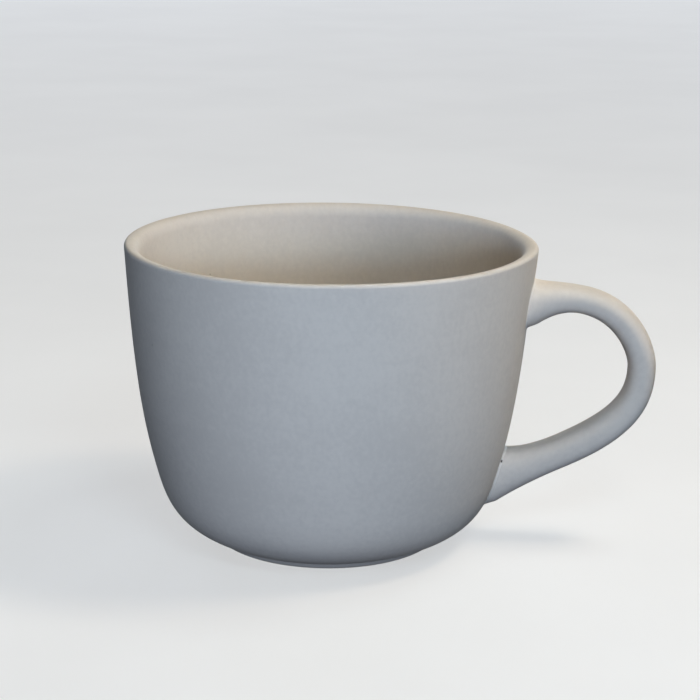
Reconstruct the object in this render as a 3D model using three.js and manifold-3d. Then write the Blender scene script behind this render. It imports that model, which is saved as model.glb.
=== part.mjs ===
// Bisque latte mug: a slip-cast bowl on a low foot, with a cast handle luted on by two pads of slip.
// Millimetres, +Z up, the handle along +X. The origin lies under the middle of the mug's length.
import * as THREE from 'three';
import { mergeVertices } from 'three/addons/utils/BufferGeometryUtils.js';
import Module from 'manifold-3d';

const wasm = await Module();
wasm.setup();

// Bowl
const rimRadius = 56;
const cupHeight = 83.7;
const wallThickness = 4.1;
const floorThickness = 4.6;
const lipRound = 1; // its outer edge
const lipDepth = 4.5; // how far down the inside its broad inner rounding reaches
const lipFullness = { crest: 0.33, wall: 0.44 };
const lipLean = 3.45; // degrees that the wall leans out under the lip
const lipShare = 0.45; // the most of the wall that the outer edge's rounding takes
const wallFullness = { low: 0.314, high: 0.356 };

// Heel, where the wall turns in under the bowl
const heelInset = 7.05; // inside the rim's radius
const heelHeight = 24.4;
const heelLean = 13.9; // degrees from upright
const heelFullness = { low: 0.486, high: 0.441 };
const undersideRise = 21.7; // degrees from level, where the underside leaves the foot

// Foot
const footRadius = 31.4;
const footHeight = 1.65;
const footSpread = 0.7; // how much wider the foot is at its crease
const footEase = 0.5; // rounding of the foot's two lower edges
const footRingWidth = 4.5;
const recessDepth = 1.2;

// Handle line, from the wall under the lip, out round the bend and back to the heel
const upperJointDrop = 16.44; // below the rim
const upperJointRise = 19.15; // degrees above level, leaving the wall
const lowerJointHeight = 17.75;
const lowerJointRise = 19.65; // degrees above level, leaving the wall
const bendProjection = 30.32; // middle of the bend, outside the rim
const bendDrop = 32.9; // below the rim
const upperArmFullness = { wall: 0.72, bend: 0.167 };
const lowerArmFullness = { wall: 0.707, bend: 0.225 };
const rootInset = 2; // the line starts this far inside the wall's face
const rootBury = 10; // straight length before that, cut away by the wall

// Handle section
const armWidth = 11.5;
const upperArmThickness = 6.96;
const bendThickness = 7.68;
const lowerArmThickness = 8.75;
const lowerArmGrowth = 0.54; // share of the lower arm in which it thickens
const upperFlare = { thickness: 7.45, width: 7.5, length: 17.3 };
const lowerFlare = { thickness: 5.9, width: 1.5, length: 20.9 };
const sectionPower = 2.4; // 2 is an ellipse, more is squarer

// Slip joints
const slipThickness = 0.8;
const slipMargin = 0.4; // the bead squeezed out all round the root
const seatGap = 0.3;

// Mesh density
const latheSegments = 64;
const wallSteps = 22;
const lipSteps = 4;
const innerLipSteps = 7;
const handleSteps = 20; // along each arm
const sectionSides = 24;
const weldDistance = 1e-4;

const bisque = { color: 0xdcd8d0, roughness: 0.92, metalness: 0 };
const driedSlip = { color: 0xe4e0d8, roughness: 0.95, metalness: 0 };

// A direction at an angle in degrees from level.
function heading(degrees) {
  const angle = THREE.MathUtils.degToRad(degrees);
  return new THREE.Vector2(Math.cos(angle), Math.sin(angle));
}

// A smooth curve that leaves start and reaches end at given headings.
// Its fullness at each end is the share of the chord that the heading holds for.
function easyCurve(start, startDegrees, startFullness, end, endDegrees, endFullness) {
  const chord = start.distanceTo(end);
  const leaving = start.clone().addScaledVector(heading(startDegrees), startFullness * chord);
  const arriving = end.clone().addScaledVector(heading(endDegrees), -endFullness * chord);
  return new THREE.CubicBezierCurve(start, leaving, arriving, end);
}

// Points of an arc, both ends included.
function arcPoints(centreX, centreY, radius, fromDegrees, toDegrees, steps) {
  const from = THREE.MathUtils.degToRad(fromDegrees);
  const to = THREE.MathUtils.degToRad(toDegrees);
  return new THREE.EllipseCurve(centreX, centreY, radius, radius, from, to).getPoints(steps);
}

// The outline moved square to itself, outwards where the distance is positive.
function offsetOutline(outline, distance) {
  return outline.map((point, index) => {
    const before = outline[Math.max(index - 1, 0)];
    const after = outline[Math.min(index + 1, outline.length - 1)];
    const along = after.clone().sub(before).normalize();
    return point.clone().add(new THREE.Vector2(along.y, -along.x).multiplyScalar(distance));
  });
}

// A profile of radius and height, turned about the upright axis.
function turned(profile) {
  return new THREE.LatheGeometry(profile, latheSegments).rotateX(Math.PI / 2);
}

// A geometry as a solid that can be joined and cut.
function solidOf(geometry) {
  const bare = geometry.clone();
  bare.deleteAttribute('normal');
  bare.deleteAttribute('uv');
  const welded = mergeVertices(bare, weldDistance);
  const corners = welded.index.array;
  const triangles = [];
  for (let i = 0; i < corners.length; i += 3) {
    const [a, b, c] = corners.slice(i, i + 3);
    if (a !== b && b !== c && c !== a) {
      triangles.push(a, b, c);
    }
  }
  return new wasm.Manifold(new wasm.Mesh({
    numProp: 3,
    vertProperties: new Float32Array(welded.attributes.position.array),
    triVerts: new Uint32Array(triangles),
  }));
}

// A solid back as a geometry.
function geometryOf(solid) {
  const { vertProperties, triVerts, numProp } = solid.getMesh();
  const geometry = new THREE.BufferGeometry();
  geometry.setAttribute('position', new THREE.BufferAttribute(vertProperties, numProp));
  geometry.setIndex(new THREE.BufferAttribute(triVerts, 1));
  geometry.computeVertexNormals();
  return geometry;
}

function namedMesh(name, geometry, finish) {
  const mesh = new THREE.Mesh(geometry, new THREE.MeshStandardMaterial(finish));
  mesh.name = name;
  return mesh;
}

// Outside of the wall, from the foot's crease up to the lip.
const lipEase = Math.min(lipRound, wallThickness * lipShare);
const crease = new THREE.Vector2(footRadius + footSpread, footHeight);
const heel = new THREE.Vector2(rimRadius - heelInset, heelHeight);
const lipCentre = new THREE.Vector2(rimRadius - lipEase, cupHeight - lipEase);
const underLip = lipCentre.clone().addScaledVector(heading(-lipLean), lipEase);
const wallLine = new THREE.CurvePath();
wallLine.add(easyCurve(
  crease, undersideRise, heelFullness.low,
  heel, 90 - heelLean, heelFullness.high,
));
wallLine.add(easyCurve(
  heel, 90 - heelLean, wallFullness.low,
  underLip, 90 - lipLean, wallFullness.high,
));
const wallOutline = wallLine.getSpacedPoints(wallSteps);

// An outline's radius at a height.
function radiusAt(outline, height) {
  const above = outline.findIndex((point) => point.y >= height);
  const high = outline[above];
  const low = outline[above - 1];
  const share = (height - low.y) / (high.y - low.y);
  return THREE.MathUtils.lerp(low.x, high.x, share);
}

// The bowl, foot and lip are one casting.
function cupBody() {
  const floorTop = recessDepth + floorThickness;
  const ringInside = footRadius - footRingWidth;
  const inside = offsetOutline(wallOutline, -wallThickness);
  const lipBottom = cupHeight - lipDepth;
  const innerLip = easyCurve(
    new THREE.Vector2(lipCentre.x, cupHeight), 180, lipFullness.crest,
    new THREE.Vector2(radiusAt(inside, lipBottom), lipBottom), 270 - lipLean, lipFullness.wall,
  );
  const innerWall = inside.filter((point) => point.y > floorTop && point.y < lipBottom);
  return turned([
    new THREE.Vector2(0, recessDepth),
    new THREE.Vector2(ringInside - footEase, recessDepth),
    new THREE.Vector2(ringInside, footEase),
    new THREE.Vector2(ringInside + footEase, 0),
    new THREE.Vector2(footRadius - footEase, 0),
    new THREE.Vector2(footRadius, footEase),
    ...wallOutline.slice(0, -1),
    ...arcPoints(lipCentre.x, lipCentre.y, lipEase, -lipLean, 90, lipSteps),
    ...innerLip.getPoints(innerLipSteps).slice(1),
    ...innerWall.reverse(),
    new THREE.Vector2(0, floorTop),
  ]);
}

// The cup's outside as a solid block, grown by a distance. It cuts what is seated on the wall.
function cupBlock(grown) {
  const outline = offsetOutline(wallOutline, grown);
  const top = cupHeight + grown;
  return solidOf(turned([
    new THREE.Vector2(0, outline[0].y),
    ...outline,
    new THREE.Vector2(outline.at(-1).x, top),
    new THREE.Vector2(0, top),
  ]));
}

// Evenly spaced stations along one arm, with the runs from its two ends to the handle's two roots.
function armStations(arm, startThickness, endThickness, growth, upperRun, lowerRun) {
  const length = arm.getLength();
  return Array.from({ length: handleSteps + 1 }, (_, step) => {
    const share = step / handleSteps;
    const blend = THREE.MathUtils.smoothstep(share, 0, growth);
    return {
      point: arm.getPointAt(share),
      heading: arm.getTangentAt(share),
      thickness: THREE.MathUtils.lerp(startThickness, endThickness, blend),
      fromUpper: upperRun + share * length,
      fromLower: lowerRun + (1 - share) * length,
    };
  });
}

// Stations of the handle's middle line, in the plane of the cup's axis, from root to root.
const bendReach = rimRadius + bendProjection;
function handleStations() {
  const upperHeight = cupHeight - upperJointDrop;
  const upperRoot = new THREE.Vector2(radiusAt(wallOutline, upperHeight) - rootInset, upperHeight);
  const bend = new THREE.Vector2(bendReach, cupHeight - bendDrop);
  const lowerWall = radiusAt(wallOutline, lowerJointHeight);
  const lowerRoot = new THREE.Vector2(lowerWall - rootInset, lowerJointHeight);
  const upperArm = easyCurve(
    upperRoot, upperJointRise, upperArmFullness.wall,
    bend, -90, upperArmFullness.bend,
  );
  const lowerArm = easyCurve(
    bend, -90, lowerArmFullness.bend,
    lowerRoot, 180 + lowerJointRise, lowerArmFullness.wall,
  );
  const upperLength = upperArm.getLength();
  const lowerLength = lowerArm.getLength();
  const upper = armStations(upperArm, upperArmThickness, bendThickness, 1, 0, lowerLength);
  const lower = armStations(lowerArm, bendThickness, lowerArmThickness, lowerArmGrowth, upperLength, 0);
  const first = upper[0];
  const last = lower.at(-1);
  return [
    { ...first, point: first.point.clone().addScaledVector(first.heading, -rootBury) },
    ...upper,
    ...lower.slice(1),
    { ...last, point: last.point.clone().addScaledVector(last.heading, rootBury) },
  ];
}

// How far a root's flare has opened, 1 at the wall and 0 where the plain arm begins.
function flareShare(distance, length) {
  return Math.max(0, 1 - distance / length) ** 2;
}

// A cosine or sine drawn out towards a square corner.
function squared(value) {
  return Math.sign(value) * Math.abs(value) ** (2 / sectionPower);
}

// The handle's round-cornered section swept through stations of its line, grown by a margin.
function sweep(stations, margin) {
  const corners = [];
  const faces = [];
  for (const { point, heading: along, fromUpper, fromLower, thickness } of stations) {
    const upper = flareShare(fromUpper, upperFlare.length);
    const lower = flareShare(fromLower, lowerFlare.length);
    const halfThickness = margin
      + (thickness + upper * upperFlare.thickness + lower * lowerFlare.thickness) / 2;
    const halfWidth = margin + (armWidth + upper * upperFlare.width + lower * lowerFlare.width) / 2;
    for (let side = 0; side < sectionSides; side += 1) {
      const angle = (side / sectionSides) * 2 * Math.PI;
      const inward = halfThickness * squared(Math.cos(angle));
      corners.push(
        point.x + along.y * inward,
        halfWidth * squared(Math.sin(angle)),
        point.y - along.x * inward,
      );
    }
  }
  for (let ring = 0; ring < stations.length - 1; ring += 1) {
    for (let side = 0; side < sectionSides; side += 1) {
      const a = ring * sectionSides + side;
      const b = ring * sectionSides + (side + 1) % sectionSides;
      faces.push(a, b, a + sectionSides, b, b + sectionSides, a + sectionSides);
    }
  }
  const lastRing = (stations.length - 1) * sectionSides;
  for (let side = 1; side < sectionSides - 1; side += 1) {
    faces.push(0, side + 1, side);
    faces.push(lastRing, lastRing + side, lastRing + side + 1);
  }
  const geometry = new THREE.BufferGeometry();
  geometry.setAttribute('position', new THREE.Float32BufferAttribute(corners, 3));
  geometry.setIndex(faces);
  return solidOf(geometry);
}

const stations = handleStations();
const half = handleSteps + 1;
const slipInner = cupBlock(seatGap);
const slipOuter = cupBlock(seatGap + slipThickness);
const handleSeat = cupBlock(seatGap + slipThickness + seatGap);

const handle = sweep(stations, 0).subtract(handleSeat);
const upperSlip = sweep(stations.slice(0, half), slipMargin).intersect(slipOuter).subtract(slipInner);
const lowerSlip = sweep(stations.slice(half), slipMargin).intersect(slipOuter).subtract(slipInner);

const mug = new THREE.Group();
mug.add(namedMesh('cup_body', cupBody(), bisque));
mug.add(namedMesh('handle', geometryOf(handle), bisque));
mug.add(namedMesh('upper_slip_joint', geometryOf(upperSlip), driedSlip));
mug.add(namedMesh('lower_slip_joint', geometryOf(lowerSlip), driedSlip));
mug.position.x = (rimRadius - bendReach - bendThickness / 2) / 2;

export default mug;
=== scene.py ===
"""Bisque latte mug: the looks of every piece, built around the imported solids.

Lengths are in metres, and angles in degrees unless a name says otherwise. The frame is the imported
model's: +Z is up, the handle points along +X and the foot stands on Z = 0.
"""

import logging
import math
from collections.abc import Mapping
from dataclasses import dataclass
from enum import Enum
from typing import Any

import bmesh
import bpy
import numpy as np
from mathutils import Matrix, Vector


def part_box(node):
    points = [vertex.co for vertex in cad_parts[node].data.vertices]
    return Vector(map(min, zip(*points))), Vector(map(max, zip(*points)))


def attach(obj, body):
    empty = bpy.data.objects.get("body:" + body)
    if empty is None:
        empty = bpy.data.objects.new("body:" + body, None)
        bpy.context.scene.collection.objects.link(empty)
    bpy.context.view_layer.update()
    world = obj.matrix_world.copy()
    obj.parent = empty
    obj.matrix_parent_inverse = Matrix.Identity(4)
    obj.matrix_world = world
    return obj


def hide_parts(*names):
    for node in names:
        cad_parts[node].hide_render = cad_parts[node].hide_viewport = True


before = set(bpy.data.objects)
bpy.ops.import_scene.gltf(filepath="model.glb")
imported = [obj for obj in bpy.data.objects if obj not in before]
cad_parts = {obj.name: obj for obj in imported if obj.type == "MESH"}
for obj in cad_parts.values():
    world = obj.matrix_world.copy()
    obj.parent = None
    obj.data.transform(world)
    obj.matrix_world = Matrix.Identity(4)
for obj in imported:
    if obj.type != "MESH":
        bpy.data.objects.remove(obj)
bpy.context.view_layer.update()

MM = 0.001
ROOT = "root"
PINHOLE = "pinhole"
FINE_STEPS = 600

Colour = tuple[float, float, float]
log = logging.getLogger("latte_mug")


class JointPlace(Enum):
    """Which root of the handle a slip joint holds."""

    UPPER = "upper_slip_joint"
    LOWER = "lower_slip_joint"


class Socket:
    """One output of a shader graph, with Python's operators for its maths."""

    def __init__(self, graph: "ShaderGraph", output: bpy.types.NodeSocket) -> None:
        """Hold an output and the graph that its maths is added to."""
        self.graph = graph
        self.output = output

    def maths(self, operation: str, first: Any, second: Any) -> "Socket":
        """Add a Math node on two values."""
        return self.graph.node("ShaderNodeMath", {"operation": operation}, {0: first, 1: second})

    def __add__(self, other: Any) -> "Socket":
        """This value plus another."""
        return self.maths("ADD", self, other)

    def __radd__(self, other: Any) -> "Socket":
        """Another value plus this one."""
        return self.maths("ADD", other, self)

    def __sub__(self, other: Any) -> "Socket":
        """This value less another."""
        return self.maths("SUBTRACT", self, other)

    def __rsub__(self, other: Any) -> "Socket":
        """Another value less this one."""
        return self.maths("SUBTRACT", other, self)

    def __mul__(self, other: Any) -> "Socket":
        """This value times another."""
        return self.maths("MULTIPLY", self, other)

    def __rmul__(self, other: Any) -> "Socket":
        """Another value times this one."""
        return self.maths("MULTIPLY", other, self)

    def step(self, low: float, high: float) -> "Socket":
        """Rise smoothly from 0 at one value to 1 at another.

        Args:
            low: Value where the step starts.
            high: Value where the step ends.

        Returns:
            The stepped value, held between 0 and 1.
        """
        settings = {"interpolation_type": "SMOOTHSTEP"}
        sockets = {"Value": self, "From Min": low, "From Max": high}
        return self.graph.node("ShaderNodeMapRange", settings, sockets)


class ShaderGraph:
    """The node tree of one material or world."""

    def __init__(self, tree: bpy.types.NodeTree) -> None:
        """Start from an empty tree."""
        self.tree = tree
        tree.nodes.clear()

    def node(
        self,
        kind: str,
        settings: Mapping[str, Any] | None = None,
        inputs: Mapping[str | int, Any] | None = None,
        output: str | int | None = 0,
    ) -> Socket | None:
        """Add a node, set it up and connect it.

        Args:
            kind: Blender's name of the node's type.
            settings: The node's own options, set before its sockets.
            inputs: Values or links of its input sockets, by name or place.
            output: The output that is wanted, by name or place, or None.

        Returns:
            The wanted output, if there is one.
        """
        made = self.tree.nodes.new(kind)
        for name, value in (settings or {}).items():
            setattr(made, name, value)
        for key, value in (inputs or {}).items():
            if isinstance(value, Socket):
                self.tree.links.new(value.output, made.inputs[key])
            else:
                made.inputs[key].default_value = value
        return None if output is None else Socket(self, made.outputs[output])

    def noise(self, place: Socket, scale: float, detail: float, roughness: float = 0.5) -> Socket:
        """Add a noise of a given fineness.

        Args:
            place: The coordinates that it is read at.
            scale: Blotches to the metre.
            detail: Octaves of finer noise.
            roughness: How strong the finer octaves are.

        Returns:
            The noise, around 0.5.
        """
        sockets = {"Vector": place, "Scale": scale, "Detail": detail, "Roughness": roughness}
        return self.node("ShaderNodeTexNoise", None, sockets)

    def mix(self, share: Any, first: Colour | Socket, second: Colour) -> Socket:
        """Mix two colours.

        Args:
            share: How much of the second colour shows.
            first: Colour where the share is 0.
            second: Colour where the share is 1.

        Returns:
            The mixed colour.
        """
        under = first if isinstance(first, Socket) else (*first, 1.0)
        sockets = {0: share, 6: under, 7: (*second, 1.0)}
        return self.node("ShaderNodeMix", {"data_type": "RGBA"}, sockets, 2)

    def bump(self, height: Socket, relief: float, below: Socket | None = None) -> Socket:
        """Add fine relief to a surface.

        Args:
            height: Relief from 0 to 1.
            relief: Length that 1 stands for.
            below: Normal of the coarser relief under it.

        Returns:
            The new normal.
        """
        sockets = {"Height": height, "Distance": relief, "Strength": 1.0}
        if below is not None:
            sockets["Normal"] = below
        return self.node("ShaderNodeBump", None, sockets)

    def seen_directly(self) -> Socket:
        """Tell what the camera, a reflection or a clear pane sees from light that only bounces.

        Returns:
            1 on a ray that shows the surface, 0 on a ray that carries light.
        """
        camera = self.node("ShaderNodeLightPath", None, None, "Is Camera Ray")
        glossy = self.node("ShaderNodeLightPath", None, None, "Is Glossy Ray")
        clear = self.node("ShaderNodeLightPath", None, None, "Is Transmission Ray")
        return camera.maths("MAXIMUM", camera, glossy.maths("MAXIMUM", glossy, clear))


@dataclass(frozen=True)
class BisqueFinish:
    """Unglazed fired clay: chalky, clouded and speckled, with sponge drag and a fine tooth, and
    painted shade darkening its pits and pinhole.
    """

    name: str
    colour: Colour
    cloud_colour: Colour
    # Painted shade: a dark tan painted into the pits, standing in for the shade inside them.
    pit_shade_colour: Colour = (0.36, 0.31, 0.255)
    # Painted shade: near black painted into the joint's pinhole, standing in for the shade inside
    # the hole.
    hole_shade_colour: Colour = (0.05, 0.042, 0.035)
    roughness: float = 0.9
    roughness_swing: float = 0.15
    specular: float = 0.02
    cloud_scale: float = 38.0
    cloud_share: float = 0.5
    sponge_scale: float = 420.0
    sponge_share: float = 0.3
    speckle_scale: float = 850.0
    speckle_share: float = 0.34
    drag_scale: float = 34.0
    drag_stretch: float = 10.0
    drag_share: float = 0.2
    tone_low: float = 0.32
    tone_high: float = 0.68
    grain_scale: float = 3400.0
    pit_scale: float = 190.0
    pit_size: float = 0.07
    # How strongly the painted shade darkens the pits.
    pit_shade_strength: float = 0.6
    pit_patch_scale: float = 76.0
    pit_rare_low: float = 0.7
    pit_rare_high: float = 0.74
    drag_relief: float = 0.05 * MM
    sponge_relief: float = 0.02 * MM
    grain_relief: float = 0.012 * MM
    pit_relief: float = 0.25 * MM

    def material(self) -> bpy.types.Material:
        """Make the finish as a material.

        Returns:
            The new material.
        """
        made = bpy.data.materials.new(self.name)
        made.use_nodes = True
        graph = ShaderGraph(made.node_tree)
        place = graph.node("ShaderNodeTexCoord", None, None, "Object")
        level = (1.0, 1.0, self.drag_stretch)
        drawn = graph.node("ShaderNodeVectorMath", {"operation": "MULTIPLY"}, {0: place, 1: level})
        clouds = graph.noise(place, self.cloud_scale, detail=3.0)
        sponge = graph.noise(place, self.sponge_scale, detail=4.0, roughness=0.6)
        drag = graph.noise(drawn, self.drag_scale, detail=4.0, roughness=0.55)
        speckle = graph.noise(place, self.speckle_scale, detail=1.0) - 0.5
        grain = graph.noise(place, self.grain_scale, detail=2.0, roughness=0.7)
        pits = self.pits(graph, place)
        broad = clouds * self.cloud_share + sponge * self.sponge_share
        blend = broad + drag * self.drag_share + speckle * self.speckle_share
        tone = blend.step(self.tone_low, self.tone_high)
        clay = graph.mix(tone, self.colour, self.cloud_colour)
        # Painted shade: the pits are mixed towards a dark tan, standing in for the shade inside
        # them.
        pit_shaded = graph.mix(pits * self.pit_shade_strength, clay, self.pit_shade_colour)
        hole = graph.node("ShaderNodeAttribute", {"attribute_name": PINHOLE}, None, "Fac")
        # Painted shade: the pinhole's mark is mixed towards near black, standing in for the shade
        # inside the hole.
        hole_shaded = graph.mix(hole, pit_shaded, self.hole_shade_colour)
        dragged = graph.bump(drag, self.drag_relief)
        sponged = graph.bump(sponge, self.sponge_relief, dragged)
        toothed = graph.bump(grain, self.grain_relief, sponged)
        normal = graph.bump(1.0 - pits, self.pit_relief, toothed)
        sockets = {
            "Base Color": hole_shaded,
            "Roughness": self.roughness + (sponge - 0.5) * self.roughness_swing,
            "Normal": normal,
            "Specular IOR Level": self.specular,
        }
        surface = graph.node("ShaderNodeBsdfPrincipled", None, sockets)
        graph.node("ShaderNodeOutputMaterial", None, {"Surface": surface}, None)
        return made

    def pits(self, graph: ShaderGraph, place: Socket) -> Socket:
        """Scatter a few pinholes over the clay, which the finish both sinks as relief and darkens
        with painted shade.

        Args:
            graph: The material's graph.
            place: Coordinates on the piece.

        Returns:
            1 in a pinhole, 0 on the clay.
        """
        cells = graph.node("ShaderNodeTexVoronoi", None, {"Vector": place, "Scale": self.pit_scale})
        patches = graph.noise(place, self.pit_patch_scale, detail=0.0)
        rare = patches.step(self.pit_rare_low, self.pit_rare_high)
        return (1.0 - cells.step(self.pit_size * 0.5, self.pit_size)) * rare


@dataclass(frozen=True)
class PaleFinish:
    """A plain pale studio surface that throws little light back on the mug."""

    name: str
    colour: Colour
    bounce_colour: Colour
    glow: float
    wear: float = 0.04
    wear_scale: float = 9.0
    roughness: float = 0.9
    specular: float = 0.1

    def material(self) -> bpy.types.Material:
        """Make the finish as a material.

        Returns:
            The new material.
        """
        made = bpy.data.materials.new(self.name)
        made.use_nodes = True
        graph = ShaderGraph(made.node_tree)
        place = graph.node("ShaderNodeTexCoord", None, None, "Object")
        worn = graph.noise(place, self.wear_scale, detail=4.0).step(0.2, 0.8)
        shown_colour = graph.mix(worn * self.wear, self.colour, self.bounce_colour)
        sockets = {
            "Base Color": shown_colour,
            "Roughness": self.roughness,
            "Specular IOR Level": self.specular,
            "Emission Color": shown_colour,
            "Emission Strength": self.glow,
        }
        shown = graph.node("ShaderNodeBsdfPrincipled", None, sockets)
        dim = graph.node("ShaderNodeBsdfDiffuse", None, {"Color": (*self.bounce_colour, 1.0)})
        ends = {0: graph.seen_directly(), 1: dim, 2: shown}
        surface = graph.node("ShaderNodeMixShader", None, ends)
        graph.node("ShaderNodeOutputMaterial", None, {"Surface": surface}, None)
        return made


@dataclass(frozen=True)
class EasyCurve:
    """A smooth flat curve that leaves and reaches its ends at given headings."""

    start: np.ndarray
    start_heading: float
    start_fullness: float
    end: np.ndarray
    end_heading: float
    end_fullness: float

    def points(self, count: int) -> np.ndarray:
        """Space points evenly along the curve.

        Args:
            count: How many points, both ends included.

        Returns:
            The points, one to a row.
        """
        chord = np.linalg.norm(self.end - self.start)
        leaving = self.start + heading(self.start_heading) * self.start_fullness * chord
        arriving = self.end - heading(self.end_heading) * self.end_fullness * chord
        t = np.linspace(0.0, 1.0, FINE_STEPS)[:, None]
        s = 1.0 - t
        near_start = s**3 * self.start + 3 * s * s * t * leaving
        near_end = 3 * s * t * t * arriving + t**3 * self.end
        return evenly(near_start + near_end, count)


def heading(degrees: float) -> np.ndarray:
    """A flat direction at an angle from level."""
    return np.array([math.cos(math.radians(degrees)), math.sin(math.radians(degrees))])


def evenly(line: np.ndarray, count: int) -> np.ndarray:
    """Space points evenly along a line of points.

    Args:
        line: Points, one to a row.
        count: How many points are wanted.

    Returns:
        The new points, with the line's own ends.
    """
    run = np.concatenate([[0.0], np.cumsum(np.linalg.norm(np.diff(line, axis=0), axis=1))])
    places = np.linspace(0.0, run[-1], count)
    return np.stack([np.interp(places, run, column) for column in line.T], axis=1)


def arc(centre: np.ndarray, radius: float, start: float, stop: float, count: int) -> np.ndarray:
    """Space points along an arc.

    Args:
        centre: Middle of the arc.
        radius: Its radius.
        start: Angle of the first point.
        stop: Angle of the last point.
        count: How many points.

    Returns:
        The points, one to a row.
    """
    angles = np.radians(np.linspace(start, stop, count))
    return centre + radius * np.stack([np.cos(angles), np.sin(angles)], axis=1)


def rounded(corners: np.ndarray, passes: int) -> np.ndarray:
    """Round the corners of a line by cutting them again and again.

    Args:
        corners: Points, one to a row.
        passes: How often the corners are cut.

    Returns:
        The rounded line, with the same ends.
    """
    line = corners
    for _ in range(passes):
        early = 0.75 * line[:-1] + 0.25 * line[1:]
        late = 0.25 * line[:-1] + 0.75 * line[1:]
        middle = np.stack([early, late], axis=1).reshape(-1, line.shape[1])
        line = np.concatenate([line[:1], middle, line[-1:]])
    return line


def smooth(share: np.ndarray) -> np.ndarray:
    """Ease a share from 0 to 1, held outside those."""
    held = np.clip(share, 0.0, 1.0)
    return held * held * (3.0 - 2.0 * held)


def unit(vectors: np.ndarray) -> np.ndarray:
    """Scale each vector to a length of 1."""
    return vectors / np.linalg.norm(vectors, axis=-1, keepdims=True)


def closed_skin(
    name: str, rings: np.ndarray, first_pole: np.ndarray, last_pole: np.ndarray
) -> bpy.types.Object:
    """Make a closed piece from rings of points, with a fan over each end.

    Args:
        name: Name of the piece.
        rings: Points, by ring, place in the ring and coordinate.
        first_pole: Middle of the fan over the first ring.
        last_pole: Middle of the fan over the last ring.

    Returns:
        The new piece, in the scene and shaded smooth.
    """
    mesh = bmesh.new()
    grid = [[mesh.verts.new(point) for point in ring] for ring in rings]
    count = len(grid[0])
    for low, high in zip(grid, grid[1:]):
        for side in range(count):
            after = (side + 1) % count
            mesh.faces.new((low[side], low[after], high[after], high[side]))
    for pole, ring in ((first_pole, grid[0]), (last_pole, grid[-1])):
        middle = mesh.verts.new(pole)
        for side in range(count):
            mesh.faces.new((middle, ring[side], ring[(side + 1) % count]))
    bmesh.ops.recalc_face_normals(mesh, faces=mesh.faces)
    for face in mesh.faces:
        face.smooth = True
    data = bpy.data.meshes.new(name)
    mesh.to_mesh(data)
    mesh.free()
    piece = bpy.data.objects.new(name, data)
    bpy.context.scene.collection.objects.link(piece)
    return piece


def seat(piece: bpy.types.Object, node: str, material: bpy.types.Material) -> None:
    """Put a piece in its node's place and give it its finish.

    Args:
        piece: The piece.
        node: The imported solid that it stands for.
        material: That finish.
    """
    piece.data.materials.append(material)
    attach(piece, ROOT)
    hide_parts(node)


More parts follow.
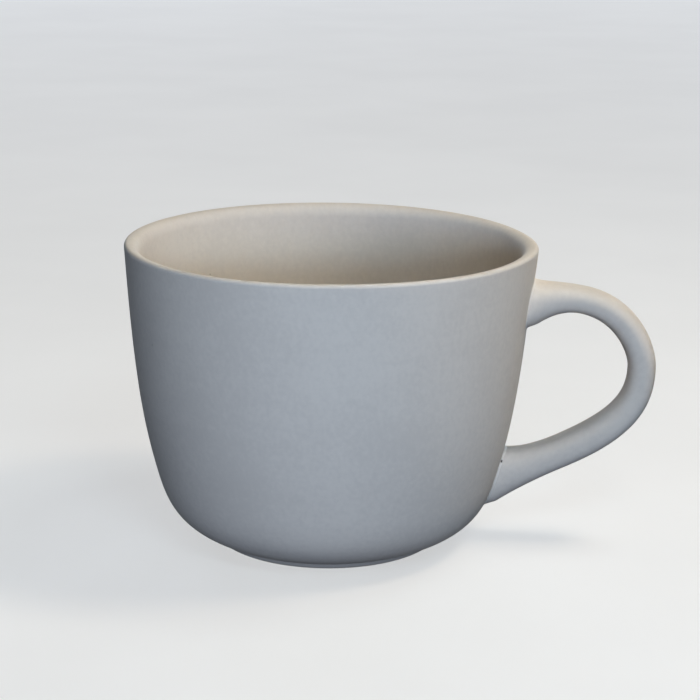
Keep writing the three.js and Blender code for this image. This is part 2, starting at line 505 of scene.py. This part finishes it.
@dataclass(frozen=True)
class BowlShape:
    """The bowl's form: a turned wall on a low foot, drawn out a little where the handle pulls."""

    axis_x: float
    rim_radius: float
    height: float
    wall: float = 4.0 * MM
    floor: float = 4.6 * MM
    floor_corner: float = 3.5 * MM
    floor_ease: float = 4.5 * MM
    pole_radius: float = 1.0 * MM
    lip_outer: float = 0.95 * MM
    lip_drop: float = 3.6 * MM
    lip_crest: float = 0.42
    lip_inner: float = 0.42
    lip_lean: float = 3.45
    wall_low: float = 0.314
    wall_high: float = 0.356
    heel_inset: float = 7.05 * MM
    heel_height: float = 24.4 * MM
    heel_lean: float = 13.9
    heel_low: float = 0.446
    heel_high: float = 0.441
    underside_rise: float = 22.0
    foot_radius: float = 33.2 * MM
    foot_height: float = 2.1 * MM
    foot_spread: float = 0.2 * MM
    foot_slant: float = 1.9 * MM
    foot_ease: float = 0.4 * MM
    foot_ring_width: float = 4.4 * MM
    recess_depth: float = 1.2 * MM
    crease_depth: float = 0.12 * MM
    pull: float = 1.05 * MM
    pull_depth: float = 22.0 * MM
    pull_spread: float = 16.0
    pull_thickening: float = 0.3
    rise: float = 0.36 * MM
    rise_azimuth: float = -77.0
    rise_spread: float = 31.0
    rise_depth: float = 9.0 * MM
    ripple: float = 0.05 * MM
    slow_ripple: float = 11.0 * MM
    quick_ripple: float = 6.0 * MM
    wall_stop: float = 0.5 * MM
    lip_gap: float = 0.4 * MM
    heel_points: int = 44
    wall_points: int = 56
    lip_points: int = 22
    outer_lip_points: int = 10
    flat_points: int = 14
    edge_points: int = 7
    corner_passes: int = 3

    @classmethod
    def from_frame(cls) -> "BowlShape":
        """Take the bowl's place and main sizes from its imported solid.

        Returns:
            The bowl's form.
        """
        low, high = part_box("cup_body")
        return cls(axis_x=(low.x + high.x) / 2, rim_radius=(high.x - low.x) / 2, height=high.z)

    def outside(self) -> np.ndarray:
        """Draw the outside of the wall from the foot's crease up to the lip.

        Returns:
            Points of radius and height.
        """
        crease = np.array([self.foot_radius + self.foot_spread, self.foot_height])
        heel = np.array([self.rim_radius - self.heel_inset, self.heel_height])
        lip = np.array([self.rim_radius, self.height]) - self.lip_outer
        under_lip = lip + self.lip_outer * heading(-self.lip_lean)
        lean = 90.0 - self.heel_lean
        lip_heading = 90.0 - self.lip_lean
        lower = EasyCurve(crease, self.underside_rise, self.heel_low, heel, lean, self.heel_high)
        upper = EasyCurve(heel, lean, self.wall_low, under_lip, lip_heading, self.wall_high)
        return np.concatenate([lower.points(self.heel_points)[:-1], upper.points(self.wall_points)])

    def inside(self) -> np.ndarray:
        """Draw the inside of the wall from the lip down to the middle of the floor.

        Returns:
            Points of radius and height.
        """
        outside = self.outside()
        along = unit(np.gradient(outside, axis=0))
        inner = outside + self.wall * np.stack([-along[:, 1], along[:, 0]], axis=1)
        floor_top = self.recess_depth + self.floor
        wall = inner[inner[:, 1] > floor_top + self.wall_stop][::-1]
        corner_radius = wall[-1, 0] - self.floor_corner
        flat_radius = corner_radius - self.floor_ease
        floor_edge = np.array([[corner_radius, floor_top], [flat_radius, floor_top]])
        corner = rounded(np.concatenate([wall[-2:], floor_edge]), self.corner_passes)
        radii = np.linspace(corner[-1, 0], self.pole_radius, self.flat_points)[1:]
        flat = np.stack([radii, np.full_like(radii, floor_top)], axis=1)
        return np.concatenate([wall[:-2], corner, flat])

    def underside(self) -> np.ndarray:
        """Draw the recess, the foot ring and the crease above it.

        Returns:
            Points of radius and height, from the middle out.
        """
        sole = self.foot_radius - self.foot_slant
        ring_inside = sole - self.foot_ring_width
        ease = self.foot_ease
        fillet = self.recess_depth - ease
        radii = np.linspace(self.pole_radius, ring_inside - fillet, self.flat_points)[:-1]
        recess = np.stack([radii, np.full_like(radii, self.recess_depth)], axis=1)
        hollow = arc(np.array([ring_inside - fillet, ease]), fillet, 90.0, 0.0, self.edge_points)
        inner_edge = arc(np.array([ring_inside + ease, ease]), ease, 180.0, 270.0, self.edge_points)
        brow = np.array([self.foot_radius, self.foot_height - self.crease_depth])
        crease = np.array([self.foot_radius + self.foot_spread, self.foot_height])
        corners = np.stack([[sole - 3.0 * ease, 0.0], [sole, 0.0], brow, crease])
        side = rounded(corners, self.corner_passes)
        return np.concatenate([recess, hollow, inner_edge[1:], side[:-1]])

    def profile(self) -> np.ndarray:
        """Draw the whole section, from the middle underneath to the middle inside.

        Returns:
            Points of radius and height.
        """
        outside = self.outside()
        inside = self.inside()
        crest = np.array([self.rim_radius - self.lip_outer, self.height])
        centre = crest - [0.0, self.lip_outer]
        outer_lip = arc(centre, self.lip_outer, -self.lip_lean, 90.0, self.outer_lip_points)
        foot_of_lip = self.height - self.lip_drop
        edge = np.array([np.interp(foot_of_lip, inside[::-1, 1], inside[::-1, 0]), foot_of_lip])
        fall = 270.0 - self.lip_lean
        inner_curve = EasyCurve(crest, 180.0, self.lip_crest, edge, fall, self.lip_inner)
        inner_lip = inner_curve.points(self.lip_points)[1:]
        below = inside[inside[:, 1] < edge[1] - self.lip_gap]
        return np.concatenate([self.underside(), outside[:-1], outer_lip, inner_lip, below])

    def warp(self, radius: np.ndarray, height: np.ndarray, azimuth: np.ndarray) -> np.ndarray:
        """Find how far the clay stands out from a true circle.

        Args:
            radius: Radius of the true circle.
            height: Height above the table.
            azimuth: Angle round the axis in radians, 0 at the handle.

        Returns:
            The distance, outwards.
        """
        outside = self.outside()
        depth = (np.interp(height, outside[:, 1], outside[:, 0]) - radius) / self.wall
        fade = 1.0 - smooth((self.height - height) / self.pull_depth)
        fade = fade * (1.0 - self.pull_thickening * np.clip(depth, 0.0, 1.0))
        turned = np.angle(np.exp(1j * azimuth))
        pull = self.pull * fade * np.exp(-((turned / math.radians(self.pull_spread)) ** 2))
        slow = np.sin(3.0 * azimuth + 0.7) * np.cos(height / self.slow_ripple + 0.4)
        quick = np.sin(7.0 * azimuth + 2.1) * np.cos(height / self.quick_ripple + 1.3)
        return (pull + self.ripple * (slow + 0.5 * quick)) * smooth(radius / self.rim_radius)

    def lift(self, height: np.ndarray, azimuth: np.ndarray) -> np.ndarray:
        """Find how far the rim stands above level.

        Args:
            height: Height on the level rim's bowl.
            azimuth: Angle round the axis in radians, 0 at the handle.

        Returns:
            The distance, upwards.
        """
        fade = 1.0 - smooth((self.height - height) / self.rise_depth)
        turned = np.angle(np.exp(1j * (azimuth - math.radians(self.rise_azimuth))))
        return self.rise * fade * np.exp(-((turned / math.radians(self.rise_spread)) ** 2))

    def wall_radius(self, height: np.ndarray, azimuth: np.ndarray) -> np.ndarray:
        """Find the radius of the wall's outside.

        Args:
            height: Height above the table.
            azimuth: Angle round the axis in radians, 0 at the handle.

        Returns:
            The radius.
        """
        outside = self.outside()
        radius = np.interp(height, outside[:, 1], outside[:, 0])
        return radius + self.warp(radius, height, azimuth)

    def clearance(self, points: np.ndarray) -> np.ndarray:
        """Find how far points lie outside the wall.

        Args:
            points: Points, with the coordinates last.

        Returns:
            The level distance to the wall, negative inside it.
        """
        x = points[..., 0] - self.axis_x
        y = points[..., 1]
        return np.hypot(x, y) - self.wall_radius(points[..., 2], np.arctan2(y, x))

    def wall_normal(self, points: np.ndarray) -> np.ndarray:
        """Find which way the wall faces at points on it.

        Args:
            points: Points on the wall, one to a row.

        Returns:
            Directions of length 1.
        """
        step = 0.05 * MM
        moves = step * np.eye(3)
        slope = [self.clearance(points + move) - self.clearance(points - move) for move in moves]
        return unit(np.stack(slope, axis=-1))


@dataclass(frozen=True)
class CupBody:
    """The bowl with its lip, heel, floor and foot ring, cast in one."""

    bowl: BowlShape
    segments: int = 192

    def build(self) -> bpy.types.Object:
        """Turn the bowl's section about its axis.

        Returns:
            The piece.
        """
        profile = self.bowl.profile()
        azimuth = np.linspace(0.0, 2.0 * math.pi, self.segments, endpoint=False)[None, :]
        height = profile[:, 1:] + self.bowl.lift(profile[:, 1:], azimuth)
        radius = profile[:, :1] + self.bowl.warp(profile[:, :1], profile[:, 1:], azimuth)
        x = self.bowl.axis_x + radius * np.cos(azimuth)
        rings = np.stack([x, radius * np.sin(azimuth), height], axis=-1)
        poles = [np.array([self.bowl.axis_x, 0.0, end]) for end in (profile[0, 1], profile[-1, 1])]
        return closed_skin("mug_bowl", rings, *poles)

    def dress(self, piece: bpy.types.Object, material: bpy.types.Material) -> None:
        """Put the bowl in its node's place with its finish."""
        seat(piece, "cup_body", material)


@dataclass(frozen=True)
class HandleShape:
    """The handle's form: a soft oval section swept out from the wall, round a bend and back."""

    bowl: BowlShape
    upper_drop: float = 16.44 * MM
    upper_rise: float = 19.15
    upper_wall_fullness: float = 0.72
    upper_bend_fullness: float = 0.167
    lower_height: float = 17.75 * MM
    lower_rise: float = 19.65
    lower_wall_fullness: float = 0.707
    lower_bend_fullness: float = 0.225
    bend_projection: float = 30.32 * MM
    bend_drop: float = 32.9 * MM
    root_inset: float = 2.0 * MM
    root_bury: float = 10.0 * MM
    arm_width: float = 11.5 * MM
    upper_thickness: float = 6.96 * MM
    bend_thickness: float = 7.68 * MM
    lower_thickness: float = 8.75 * MM
    lower_growth: float = 1.85
    upper_flare_thickness: float = 7.45 * MM
    upper_flare_width: float = 7.5 * MM
    upper_flare_length: float = 17.3 * MM
    lower_flare_thickness: float = 5.9 * MM
    lower_flare_width: float = 1.5 * MM
    lower_flare_length: float = 20.9 * MM
    upper_hold: float = 3.0 * MM
    hold_ease: float = 1.0 * MM
    upper_cuff: float = 2.6 * MM
    upper_cuff_length: float = 8.0 * MM
    lower_cuff: float = 3.0 * MM
    lower_cuff_length: float = 13.8 * MM
    section_power: float = 2.4
    arm_steps: int = 240
    bury_steps: int = 50

    def middle_line(self) -> tuple[np.ndarray, np.ndarray]:
        """Draw the middle line of the handle, in the plane of the cup's axis.

        Returns:
            Radius and height of points on the upper arm, and on the lower arm from the bend.
        """
        bowl = self.bowl
        ahead = np.zeros(1)
        heights = np.array([bowl.height - self.upper_drop, self.lower_height])
        upper_wall, lower_wall = bowl.wall_radius(heights, ahead)
        upper_wall -= bowl.warp(np.array([bowl.rim_radius]), heights[:1], ahead)[0]
        upper_root = np.array([upper_wall - self.root_inset, heights[0]])
        lower_root = np.array([lower_wall - self.root_inset, heights[1]])
        bend = np.array([bowl.rim_radius + self.bend_projection, bowl.height - self.bend_drop])
        upper = EasyCurve(
            start=upper_root,
            start_heading=self.upper_rise,
            start_fullness=self.upper_wall_fullness,
            end=bend,
            end_heading=-90.0,
            end_fullness=self.upper_bend_fullness,
        )
        lower = EasyCurve(
            start=bend,
            start_heading=-90.0,
            start_fullness=self.lower_bend_fullness,
            end=lower_root,
            end_heading=180.0 + self.lower_rise,
            end_fullness=self.lower_wall_fullness,
        )
        return upper.points(self.arm_steps), lower.points(self.arm_steps)

    def plain_thickness(self) -> np.ndarray:
        """Find how thick the handle is before its roots flare.

        Returns:
            The thickness at each point of the middle line.
        """
        share = np.linspace(0.0, 1.0, self.arm_steps)
        upper_gain = self.bend_thickness - self.upper_thickness
        lower_gain = self.lower_thickness - self.bend_thickness
        upper = self.upper_thickness + upper_gain * smooth(share)
        lower = self.bend_thickness + lower_gain * smooth(self.lower_growth * share)
        return np.concatenate([upper, lower[1:]])

    def half_sizes(self, run: np.ndarray) -> tuple[np.ndarray, np.ndarray, np.ndarray]:
        """Find how far the skin lies from the middle line.

        Args:
            run: Distance along the middle line from the upper root.

        Returns:
            The half sizes on the finger side, on the outer side and across.
        """
        back = run[-1] - run
        thickness = self.plain_thickness()
        held = 0.5 * (run + self.upper_hold + np.hypot(run - self.upper_hold, self.hold_ease))
        upper = opened(run, self.upper_flare_length)
        lower = opened(back, self.lower_flare_length)
        finger = thickness + opened(held, self.upper_flare_length) * self.upper_flare_thickness
        finger += lower * self.lower_flare_thickness
        finger += 2.0 * self.lower_cuff * opened(back, self.lower_cuff_length)
        outer = thickness + upper * self.upper_flare_thickness + lower * self.lower_flare_thickness
        outer += 2.0 * self.upper_cuff * opened(run, self.upper_cuff_length)
        width = self.arm_width + upper * self.upper_flare_width + lower * self.lower_flare_width
        return 0.5 * finger, 0.5 * outer, 0.5 * width

    def lines(self, angles: np.ndarray) -> np.ndarray:
        """Draw lines along the handle's skin, from inside the wall to inside the wall.

        Args:
            angles: Where each line lies round the section in radians, 0 on the finger side.

        Returns:
            Points, by place along the handle, line and coordinate.
        """
        upper, lower = self.middle_line()
        line = np.concatenate([upper, lower[1:]])
        run = np.concatenate([[0.0], np.cumsum(np.linalg.norm(np.diff(line, axis=0), axis=1))])
        along = unit(np.gradient(line, axis=0))
        buried = np.linspace(self.root_bury, 0.0, self.bury_steps, endpoint=False)[:, None]
        first = line[0] - buried * along[0]
        last = line[-1] + buried[::-1] * along[-1]
        line = np.concatenate([first, line, last])
        ends = (self.bury_steps, self.bury_steps)
        along = np.pad(along, (ends, (0, 0)), mode="edge")
        sizes = [np.pad(size, ends, mode="edge")[:, None] for size in self.half_sizes(run)]
        finger, outer, width = sizes
        power = 2.0 / self.section_power
        rise = np.sign(np.cos(angles)) * np.abs(np.cos(angles)) ** power
        inward = np.where(rise > 0.0, finger, outer) * rise
        across = width * np.sign(np.sin(angles)) * np.abs(np.sin(angles)) ** power
        x = self.bowl.axis_x + line[:, :1] + along[:, 1:] * inward
        z = line[:, 1:] - along[:, :1] * inward
        return np.stack([x, across, z], axis=-1)

    def crossings(self, lines: np.ndarray, clearance: float) -> dict[JointPlace, np.ndarray]:
        """Find where lines along the skin come to a given distance from the wall.

        Args:
            lines: Lines along the skin.
            clearance: Distance outside the wall.

        Returns:
            The place along each line, counted in its points, at each root.
        """
        depth = self.bowl.clearance(lines) - clearance
        half = len(lines) // 2
        column = np.arange(lines.shape[1])
        last = half - 1 - np.argmax(depth[:half][::-1] < 0.0, axis=0)
        first = half + np.argmax(depth[half:] < 0.0, axis=0)
        upper = last + depth[last, column] / (depth[last, column] - depth[last + 1, column])
        lower = first - depth[first, column] / (depth[first, column] - depth[first - 1, column])
        return {JointPlace.UPPER: upper, JointPlace.LOWER: lower}


def opened(distance: np.ndarray, length: float) -> np.ndarray:
    """How far a flare has opened, 1 at its root and 0 at its length."""
    return np.clip(1.0 - distance / length, 0.0, 1.0) ** 2


def along_lines(lines: np.ndarray, places: np.ndarray) -> np.ndarray:
    """Read lines at places between their points.

    Args:
        lines: Points, by place along the line, line and coordinate.
        places: Places counted in points, with one column for each line.

    Returns:
        The points, by row of places, line and coordinate.
    """
    before = np.clip(np.floor(places).astype(int), 0, len(lines) - 2)
    share = (places - before)[..., None]
    column = np.arange(lines.shape[1])
    return (1.0 - share) * lines[before, column] + share * lines[before + 1, column]


@dataclass(frozen=True)
class Handle:
    """The D-shaped handle, with a flared root at each end."""

    shape: HandleShape
    sides: int = 64
    rings: int = 150
    seating: float = 0.8 * MM

    def build(self) -> bpy.types.Object:
        """Sweep the handle between the two places where it enters the wall.

        Returns:
            The piece.
        """
        angles = np.linspace(0.0, 2.0 * math.pi, self.sides, endpoint=False)
        lines = self.shape.lines(angles)
        ends = self.shape.crossings(lines, -self.seating)
        share = np.linspace(0.0, 1.0, self.rings)[:, None]
        places = (1.0 - share) * ends[JointPlace.UPPER] + share * ends[JointPlace.LOWER]
        rings = along_lines(lines, places)
        return closed_skin("mug_handle", rings, rings[0].mean(axis=0), rings[-1].mean(axis=0))

    def dress(self, piece: bpy.types.Object, material: bpy.types.Material) -> None:
        """Put the handle in its node's place with its finish."""
        seat(piece, "handle", material)


@dataclass(frozen=True)
class SlipJoint:
    """Slip squeezed out round one root of the handle, dried and fired on."""

    shape: HandleShape
    place: JointPlace
    wall_leg: float
    arm_leg: float
    fullness: float = 0.45
    wander: float = 0.3
    nib: float = 0.0
    nib_spread: float = 0.1
    pinhole_angle: float = 0.0
    pinhole_depth: float = 0.0
    pinhole_size: float = 0.42 * MM
    sink: float = 0.45 * MM
    pad_depth: float = 0.6 * MM
    reach: float = 3.0
    steps: int = 9
    stations: int = 480

    def build(self) -> bpy.types.Object:
        """Run a bead along the line where the root meets the wall, and close it under both.

        Returns:
            The piece.
        """
        angles = np.linspace(0.0, 2.0 * math.pi, self.stations, endpoint=False)
        lines = self.shape.lines(angles)
        places = self.shape.crossings(lines, 0.0)[self.place]
        outward = self.reach if self.place is JointPlace.UPPER else -self.reach
        seam, ahead = along_lines(lines, np.stack([places, places + outward]))
        along_arm = unit(ahead - seam)
        tangent = unit(np.roll(seam, -1, axis=0) - np.roll(seam, 1, axis=0))
        wall_normal = self.shape.bowl.wall_normal(seam)
        middle = seam.mean(axis=0)
        on_wall = self.facing(np.cross(tangent, wall_normal), seam - middle)
        arm_normal = self.facing(np.cross(tangent, along_arm), seam - middle)
        swell = self.swell(angles)[:, None]
        wall_edge = self.wall_leg * swell * on_wall
        arm_edge = self.arm_leg * swell * along_arm
        rings = [seam + wall_edge - self.sink * wall_normal]
        for share in np.linspace(0.0, 1.0, self.steps):
            bulge = 2.0 * share * (1.0 - share) * self.fullness
            weight_wall = (1.0 - share) ** 2 + bulge
            weight_arm = share**2 + bulge
            rings.append(seam + weight_wall * wall_edge + weight_arm * arm_edge)
        rings.append(seam + arm_edge - self.sink * arm_normal)
        bead = np.stack(rings)
        hole = self.prick(bead, angles, on_wall + along_arm)
        poles = [middle - self.pad_depth * wall_normal.mean(axis=0), bead[-1].mean(axis=0)]
        piece = closed_skin(f"mug_{self.place.value}", bead, *poles)
        # The pinhole's mark, which the finish paints as shade.
        marks = piece.data.attributes.new(PINHOLE, "FLOAT", "POINT")
        marks.data.foreach_set("value", np.append(hole.ravel(), np.zeros(len(poles))))
        return piece

    @staticmethod
    def facing(vectors: np.ndarray, towards: np.ndarray) -> np.ndarray:
        """Turn directions to the side that others point to, with a length of 1."""
        side = np.sign(np.sum(vectors * towards, axis=1, keepdims=True))
        return unit(vectors) * side

    def swell(self, angles: np.ndarray) -> np.ndarray:
        """Find how thick the bead is round the root.

        Args:
            angles: Places round the section in radians.

        Returns:
            The bead's size as a share of its legs.
        """
        uneven = np.sin(2.0 * angles + 0.6) + 0.6 * np.sin(5.0 * angles + 1.9)
        uneven += 0.5 * np.sin(11.0 * angles)
        turned = np.angle(np.exp(1j * angles))
        nib = self.nib * np.exp(-((turned / self.nib_spread) ** 2))
        return 1.0 + self.wander * 0.5 * uneven + nib

    def prick(self, bead: np.ndarray, angles: np.ndarray, outward: np.ndarray) -> np.ndarray:
        """Sink a pinhole into the bead, if it has one.

        Args:
            bead: Points of the bead, by ring and place, which are moved.
            angles: Places round the section in radians.
            outward: Direction that the bead faces at each place.

        Returns:
            1 in the middle of the pinhole, 0 away from it, for each point; the finish paints shade
            where it is 1.
        """
        if not self.pinhole_depth:
            return np.zeros(bead.shape[:2])
        spot = int(np.argmin(np.abs(angles - math.radians(self.pinhole_angle))))
        middle = bead[len(bead) // 2 + 1, spot]
        near = np.exp(-((np.linalg.norm(bead - middle, axis=-1) / self.pinhole_size) ** 4))
        bead -= self.pinhole_depth * near[..., None] * unit(outward)
        return near

    def dress(self, piece: bpy.types.Object, material: bpy.types.Material) -> None:
        """Put the joint in its node's place with its finish."""
        seat(piece, self.place.value, material)


@dataclass(frozen=True)
class StudioFloor:
    """The plain floor that the mug stands on."""

    half_width: float = 9.0

    def build(self, material: bpy.types.Material) -> bpy.types.Object:
        """Lay the floor.

        Args:
            material: Its finish.

        Returns:
            The floor, which isn't part of the mug.
        """
        mesh = bmesh.new()
        half = self.half_width
        corners = ((-half, -half, 0.0), (half, -half, 0.0), (half, half, 0.0), (-half, half, 0.0))
        mesh.faces.new([mesh.verts.new(corner) for corner in corners])
        data = bpy.data.meshes.new("studio_floor")
        mesh.to_mesh(data)
        mesh.free()
        data.materials.append(material)
        floor = bpy.data.objects.new("studio_floor", data)
        bpy.context.scene.collection.objects.link(floor)
        return floor


@dataclass(frozen=True)
class SoftBox:
    """A flat soft light that faces the mug."""

    name: str
    azimuth: float
    elevation: float
    width: float
    height: float
    power: float
    colour: Colour
    distance: float
    spread: float = 180.0

    def build(self, target: Vector) -> bpy.types.Object:
        """Hang the light and aim it.

        Args:
            target: The point that it faces.

        Returns:
            The light.
        """
        lamp = bpy.data.lights.new(self.name, "AREA")
        lamp.shape = "RECTANGLE"
        lamp.size = self.width
        lamp.size_y = self.height
        lamp.energy = self.power
        lamp.color = self.colour
        lamp.spread = math.radians(self.spread)
        turn = math.radians(self.azimuth)
        rise = math.radians(self.elevation)
        level = math.cos(rise)
        away = Vector((math.sin(turn) * level, -math.cos(turn) * level, math.sin(rise)))
        light = bpy.data.objects.new(self.name, lamp)
        light.location = target + away * self.distance
        light.rotation_mode = "QUATERNION"
        light.rotation_quaternion = away.to_track_quat("Z", "Y")
        light.visible_camera = False
        bpy.context.scene.collection.objects.link(light)
        return light


@dataclass(frozen=True)
class StudioWorld:
    """A pale backdrop behind the floor, and what light it gives."""

    ambient: Colour
    backdrop: Colour

    def build(self) -> bpy.types.World:
        """Make the world.

        Returns:
            The scene's new world.
        """
        world = bpy.data.worlds.new("studio")
        world.use_nodes = True
        graph = ShaderGraph(world.node_tree)
        shown = graph.mix(graph.seen_directly(), self.ambient, self.backdrop)
        surface = graph.node("ShaderNodeBackground", None, {"Color": shown})
        graph.node("ShaderNodeOutputWorld", None, {"Surface": surface}, None)
        bpy.context.scene.world = world
        return world


@dataclass(frozen=True)
class StudioCamera:
    """The camera, at the place and turn that show the mug as it was seen."""

    bowl: BowlShape
    lens: float = 102.857
    sensor: float = 36.0
    aim_height: float = 42.0 * MM
    distance: float = 557.9 * MM
    right_offset: float = 5.91 * MM
    up_offset: float = 10.36 * MM
    pitch: float = 14.97
    roll: float = -0.68
    handle_turn: float = 4.3

    def build(self) -> bpy.types.Object:
        """Place the camera and make it the scene's own.

        Returns:
            The camera.
        """
        lens = bpy.data.cameras.new("studio_camera")
        lens.lens = self.lens
        lens.sensor_width = self.sensor
        camera = bpy.data.objects.new("studio_camera", lens)
        upright = Matrix.Rotation(math.radians(90.0 - self.pitch), 4, "X")
        tilted = upright @ Matrix.Rotation(math.radians(-self.roll), 4, "Z")
        back_off = upright @ Vector((self.right_offset, self.up_offset, self.distance))
        aim = Matrix.Translation((self.bowl.axis_x, 0.0, self.aim_height))
        turn = Matrix.Rotation(math.radians(self.handle_turn), 4, "Z")
        camera.matrix_world = aim @ turn @ Matrix.Translation(back_off) @ tilted
        bpy.context.scene.collection.objects.link(camera)
        bpy.context.scene.camera = camera
        return camera


def mug_parts(bowl: BowlShape) -> list[tuple[CupBody | Handle | SlipJoint, bpy.types.Material]]:
    """Choose the mug's pieces and their finishes.

    Args:
        bowl: The bowl's form, which the other pieces are fitted to.

    Returns:
        Each piece with its finish, in the order they are built.
    """
    handle = HandleShape(bowl)
    bisque = BisqueFinish(
        name="bisque_clay", colour=(0.738, 0.671, 0.587), cloud_colour=(0.682, 0.619, 0.543)
    ).material()
    slip = BisqueFinish(
        name="fired_slip", colour=(0.84, 0.79, 0.71), cloud_colour=(0.8, 0.75, 0.67)
    ).material()
    upper_joint = SlipJoint(
        shape=handle,
        place=JointPlace.UPPER,
        wall_leg=0.36 * MM,
        arm_leg=0.36 * MM,
        nib=1.8,
    )
    lower_joint = SlipJoint(
        shape=handle,
        place=JointPlace.LOWER,
        wall_leg=0.5 * MM,
        arm_leg=0.7 * MM,
        # The pinhole is a shallow dent; its darkness is painted shade in the slip finish.
        pinhole_angle=304.0,
        pinhole_depth=0.07 * MM,
    )
    cup = CupBody(bowl)
    return [(cup, bisque), (Handle(handle), bisque), (upper_joint, slip), (lower_joint, slip)]


def studio_lights() -> list[SoftBox]:
    """Choose the lights: a cool window in front, fills all round and warm light from above.

    Returns:
        The lights, in the order they are hung.
    """
    return [
        SoftBox(
            "front_low", azimuth=0.0, elevation=8.0, distance=0.6, width=0.215, height=0.042,
            power=0.092, colour=(0.62, 0.64, 1.0), spread=90.0,
        ),
        SoftBox(
            "front_window", azimuth=15.0, elevation=13.0, distance=0.6, width=0.212, height=0.042,
            power=0.24, colour=(0.585, 0.775, 1.0), spread=90.0,
        ),
        SoftBox(
            "right_window", azimuth=30.0, elevation=8.0, distance=3.0, width=1.076, height=0.21,
            power=11.2, colour=(0.665, 0.77, 1.0),
        ),
        SoftBox(
            "left_fill", azimuth=-60.0, elevation=3.0, distance=3.0, width=1.084, height=0.21,
            power=11.3, colour=(0.62, 0.79, 1.0),
        ),
        SoftBox(
            "back_fill", azimuth=165.0, elevation=6.0, distance=6.0, width=2.16, height=0.42,
            power=132.0, colour=(0.714, 0.821, 1.0),
        ),
        SoftBox(
            "far_fill", azimuth=195.0, elevation=6.0, distance=6.0, width=2.16, height=0.42,
            power=124.0, colour=(0.692, 0.808, 1.0),
        ),
        SoftBox(
            "high_front", azimuth=20.0, elevation=40.0, distance=0.6, width=0.166, height=0.126,
            power=0.77, colour=(0.77, 0.91, 1.0),
        ),
        SoftBox(
            "high_side", azimuth=90.0, elevation=58.0, distance=0.6, width=0.115, height=0.126,
            power=1.4, colour=(1.0, 0.846, 0.66),
        ),
        SoftBox(
            "high_back", azimuth=110.0, elevation=68.0, distance=0.6, width=0.098, height=0.126,
            power=0.54, colour=(0.921, 1.0, 0.979),
        ),
    ]


def main() -> None:
    """Build the mug piece by piece, then the studio round it."""
    logging.basicConfig(level=logging.INFO, format="%(name)s: %(message)s")
    bpy.context.scene.view_settings.view_transform = "Standard"
    bowl = BowlShape.from_frame()
    for part, material in mug_parts(bowl):
        piece = part.build()
        part.dress(piece, material)
        log.info("%s: %d faces", piece.name, len(piece.data.polygons))
    pale = PaleFinish(
        name="pale_floor", colour=(0.38, 0.38, 0.375), bounce_colour=(0.03, 0.03, 0.03), glow=1.45
    )
    log.info("%s laid", StudioFloor().build(pale.material()).name)
    middle = Vector((bowl.axis_x, 0.0, bowl.height / 2))
    for light in studio_lights():
        log.info("%s hung", light.build(middle).name)
    StudioWorld(ambient=(0.0, 0.0, 0.0), backdrop=(0.6, 0.6, 0.59)).build()
    log.info("%s placed", StudioCamera(bowl).build().name)


if __name__ == "__main__":
    main()
